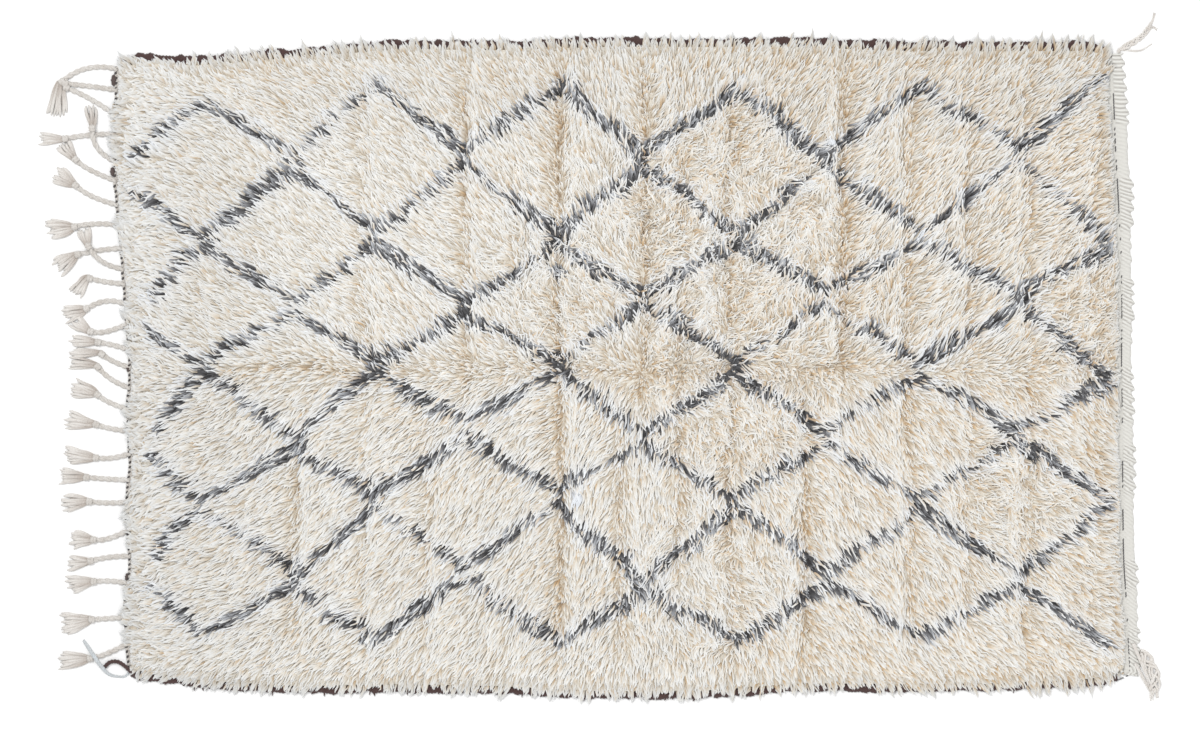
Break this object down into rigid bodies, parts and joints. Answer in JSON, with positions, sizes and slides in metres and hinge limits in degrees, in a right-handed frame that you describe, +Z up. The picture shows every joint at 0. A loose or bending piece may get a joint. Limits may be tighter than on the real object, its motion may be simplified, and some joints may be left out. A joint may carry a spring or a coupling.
{
  "type": "beni ourain rug",
  "caption": "Rectangular hand-knotted shag wool rug lying flat, ivory with a charcoal diamond lattice, a knotted warp fringe at one end and a flat-woven heading at the other.",
  "frame": {"origin": "on the floor, under the middle of the whole rug, fringe and loose ends included", "axes": "+Z up from the floor, +X along the rug's length from the fringe to the flat-woven heading, +Y across its width"},
  "size_m": [2.725, 1.6723, 0.0305],
  "materials": {
    "ivory_pile": "matte long wool pile",
    "dark_selvedge": "matte wrapped wool",
    "warp_yarn": "matte plied wool"
  },
  "bodies": {
    "root": {"pile_carpet": "ivory_pile", "selvedge_far": "dark_selvedge", "selvedge_near": "dark_selvedge", "fringe": "warp_yarn", "heading": "warp_yarn", "corner_tail_far": "warp_yarn", "corner_tail_near": "warp_yarn"}
  },
  "joints": []
}
